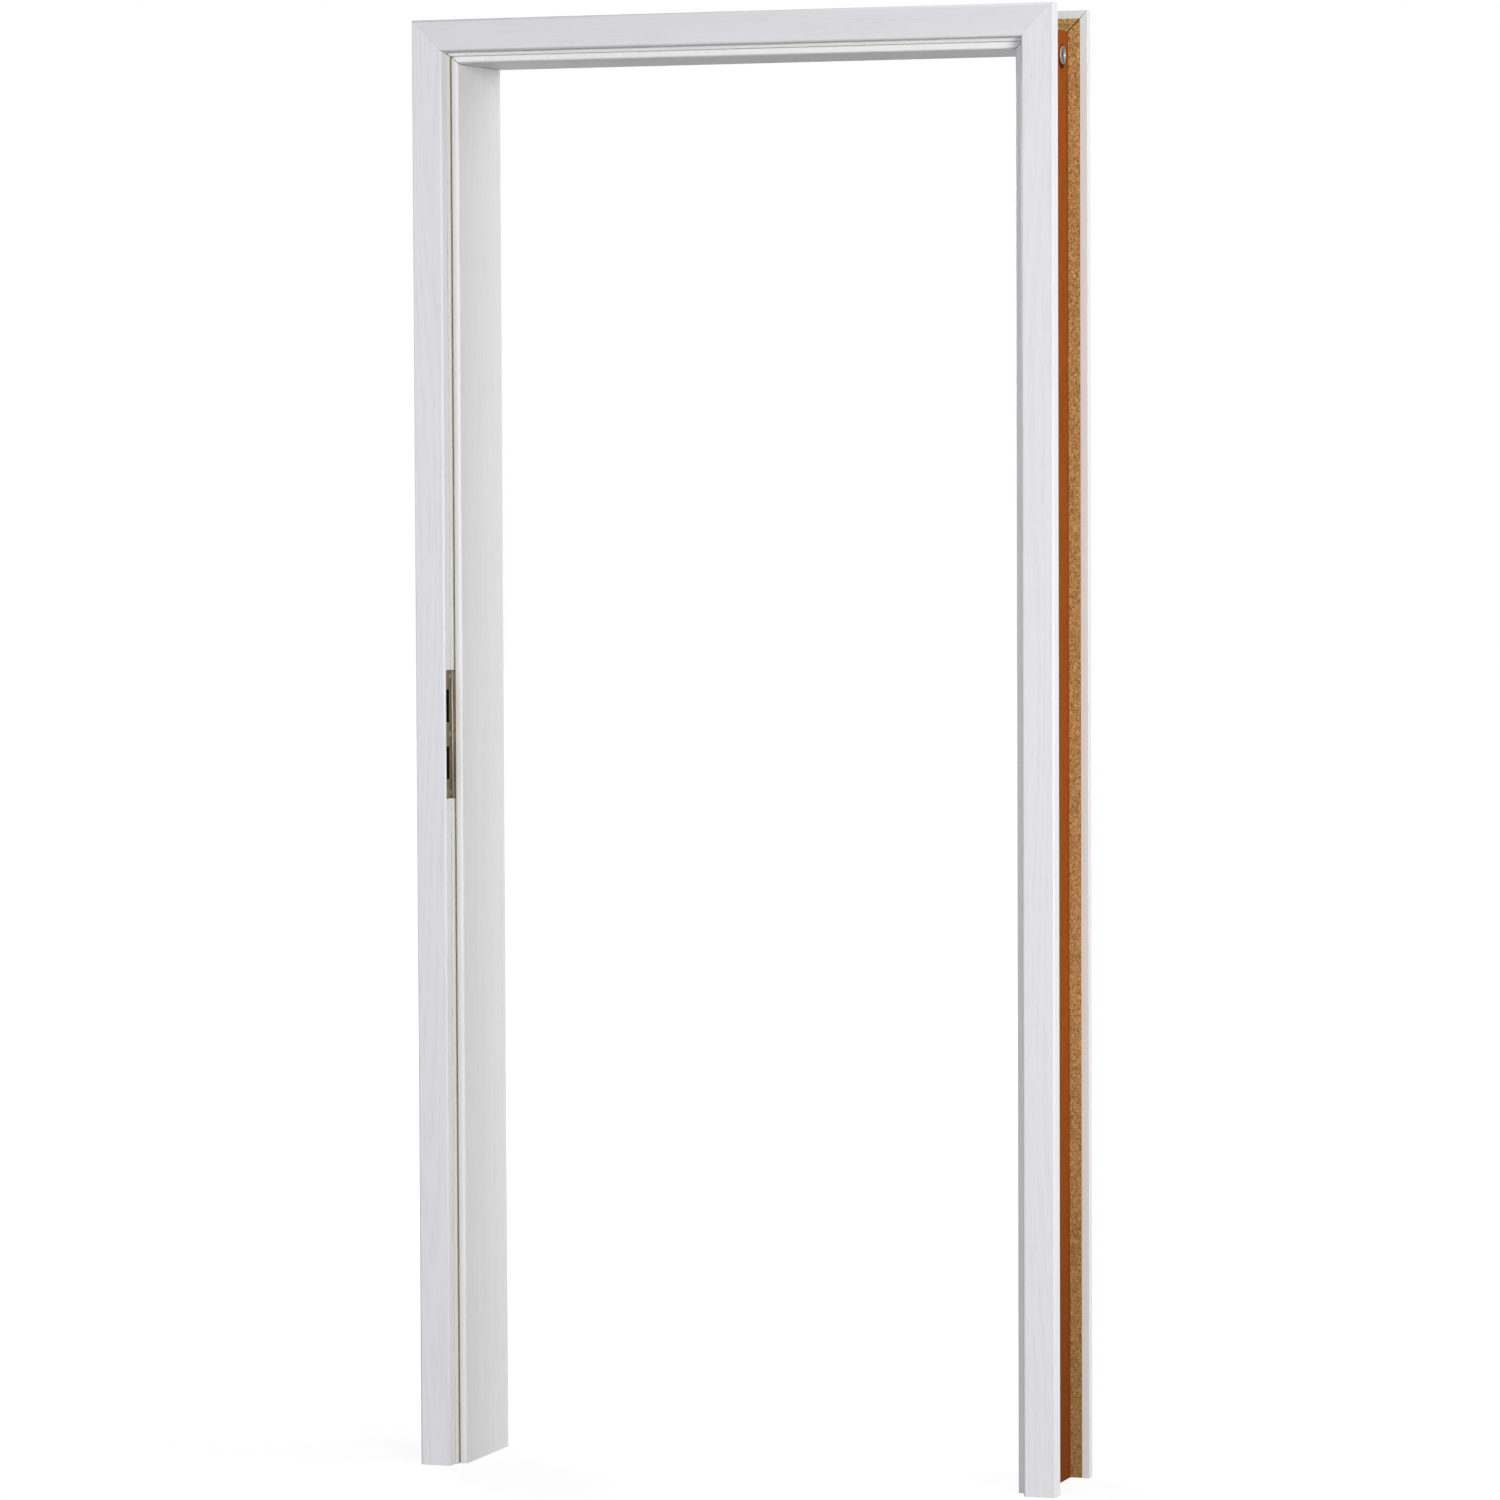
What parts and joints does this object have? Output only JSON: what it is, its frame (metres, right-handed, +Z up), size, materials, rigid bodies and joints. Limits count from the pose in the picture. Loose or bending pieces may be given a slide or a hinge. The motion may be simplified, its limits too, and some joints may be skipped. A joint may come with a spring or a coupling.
{
  "type": "door frame",
  "caption": "Wrap-around interior door lining for one rebated leaf, with mitred casings, seals, strike plate and a rear trim that slides to suit the wall.",
  "frame": {"origin": "on the floor, in the middle of the frame's footprint: halfway between the outer edges and halfway between the front and rear faces", "axes": "+X to the hinge side, -Y to the rebated front, +Y to the rear trim, +Z up"},
  "size_m": [0.931, 0.1872, 2.028],
  "materials": {
    "foil_board": "white ash-grain foil on chipboard, brown backing",
    "key_wood": "bare beech",
    "seal_rubber": "matt grey-beige rubber",
    "strike_steel": "matt nickel plate",
    "receiver_steel": "zinc-plated steel",
    "screw_steel": "zinc-plated steel",
    "cam_zinc": "die-cast zinc"
  },
  "bodies": {
    "frame": {"lining_latch_side": "foil_board", "lining_hinge_side": "foil_board", "lining_header": "foil_board", "front_casing_latch_side": "foil_board", "front_casing_hinge_side": "foil_board", "front_casing_header": "foil_board", "seal_latch_side": "seal_rubber", "seal_hinge_side": "seal_rubber", "seal_header": "seal_rubber", "strike_plate": "strike_steel", "strike_plate_screws": "screw_steel", "hinge_receiver_upper": "receiver_steel", "hinge_receiver_lower": "receiver_steel", "hinge_receiver_screws": "screw_steel", "hinge_clamp_screws": "screw_steel", "jamb_cams_latch_side": "cam_zinc", "jamb_cams_hinge_side": "cam_zinc", "header_cams_latch_side": "cam_zinc", "header_cams_hinge_side": "cam_zinc", "corner_bolts_latch_side": "screw_steel", "corner_bolts_hinge_side": "screw_steel", "front_mitre_keys": "key_wood"},
    "trim": {"rear_trim_latch_side": "foil_board", "rear_trim_hinge_side": "foil_board", "rear_trim_header": "foil_board", "rear_mitre_keys": "key_wood"}
  },
  "joints": [
    {"name": "trim_slide", "type": "slide", "parent": "frame", "child": "trim", "axis": [0, 1, 0], "range_m": [0, 0.015]}
  ]
}
